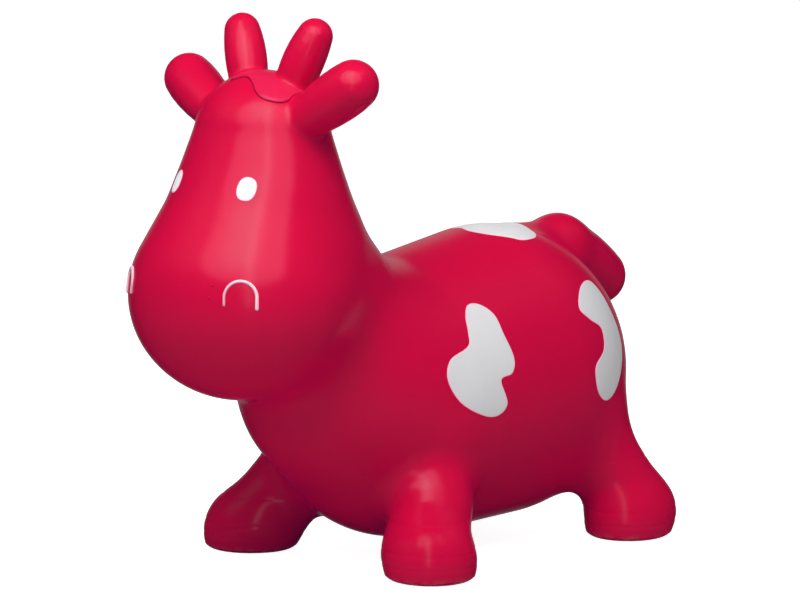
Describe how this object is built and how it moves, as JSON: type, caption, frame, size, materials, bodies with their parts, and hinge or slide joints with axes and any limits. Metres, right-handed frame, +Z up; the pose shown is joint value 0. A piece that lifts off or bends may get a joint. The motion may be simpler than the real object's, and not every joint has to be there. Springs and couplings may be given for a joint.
{
  "type": "bouncy ride-on cow",
  "caption": "Blown-up soft vinyl hopper shaped like a plain cow, with horns to hold, ears, a stub tail, cow patches and four flat-soled feet.",
  "frame": {"origin": "on the floor, in the middle of the cow's length and width", "axes": "+Z up, the cow looks along -Y, its left side is +X"},
  "size_m": [0.2838, 0.5585, 0.4615],
  "materials": {
    "crimson_vinyl": "satin gloss soft vinyl",
    "white_paint": "sprayed paint",
    "pink_paint": "paint rubbed on a raised edge",
    "grey_paint": "sprayed paint",
    "valve_rubber": "matt translucent white"
  },
  "bodies": {
    "body": {"trunk_skin": "crimson_vinyl", "head_skin": "crimson_vinyl", "leg_front_left": "crimson_vinyl", "leg_front_right": "crimson_vinyl", "leg_rear_left": "crimson_vinyl", "leg_rear_right": "crimson_vinyl", "forelock": "crimson_vinyl", "eye_left": "white_paint", "eye_right": "white_paint", "nostril_left": "pink_paint", "nostril_right": "pink_paint", "patch_flank_left": "grey_paint", "patch_rump_left": "grey_paint", "patch_flank_right": "grey_paint", "patch_rump_right": "grey_paint", "patch_back": "grey_paint", "valve_seat": "valve_rubber"},
    "feet": {"foot_front_left": "crimson_vinyl", "foot_front_right": "crimson_vinyl", "foot_rear_left": "crimson_vinyl", "foot_rear_right": "crimson_vinyl"},
    "left_horn": {"horn_left": "crimson_vinyl"},
    "right_horn": {"horn_right": "crimson_vinyl"},
    "left_ear": {"ear_left": "crimson_vinyl"},
    "right_ear": {"ear_right": "crimson_vinyl"},
    "tail_stub": {"tail": "crimson_vinyl"},
    "plug": {"valve_plug": "valve_rubber"}
  },
  "joints": [
    {"name": "bounce", "type": "slide", "parent": "body", "child": "feet", "axis": [0, 0, 1], "range_m": [0, 0.012], "stiffness_N_per_m": 10000, "springref_m": -0.003, "deforming": ["leg_front_left", "leg_front_right", "leg_rear_left", "leg_rear_right"]},
    {"name": "horn_left_flex", "type": "hinge", "parent": "body", "child": "left_horn", "pos_m": [0.02633, -0.15631, 0.41063], "axis": [1, 0, 0], "range_deg": [-10, 10], "stiffness_Nm_per_rad": 2},
    {"name": "horn_right_flex", "type": "hinge", "parent": "body", "child": "right_horn", "pos_m": [-0.02633, -0.15631, 0.41063], "axis": [1, 0, 0], "range_deg": [-10, 10], "stiffness_Nm_per_rad": 2},
    {"name": "ear_left_flex", "type": "hinge", "parent": "body", "child": "left_ear", "pos_m": [0.05431, -0.16922, 0.38526], "axis": [0, 1, 0], "range_deg": [-10, 10], "stiffness_Nm_per_rad": 1.5},
    {"name": "ear_right_flex", "type": "hinge", "parent": "body", "child": "right_ear", "pos_m": [-0.05501, -0.16688, 0.38377], "axis": [0, 1, 0], "range_deg": [-10, 10], "stiffness_Nm_per_rad": 1.5},
    {"name": "tail_lift", "type": "hinge", "parent": "body", "child": "tail_stub", "pos_m": [0, 0.20055, 0.237], "axis": [1, 0, 0], "range_deg": [0, 15], "stiffness_Nm_per_rad": 1.5, "springref_deg": -2.86},
    {"name": "plug_pull", "type": "slide", "parent": "body", "child": "plug", "axis": [0, 0.9756, -0.2193], "range_m": [0, 0.018]}
  ]
}
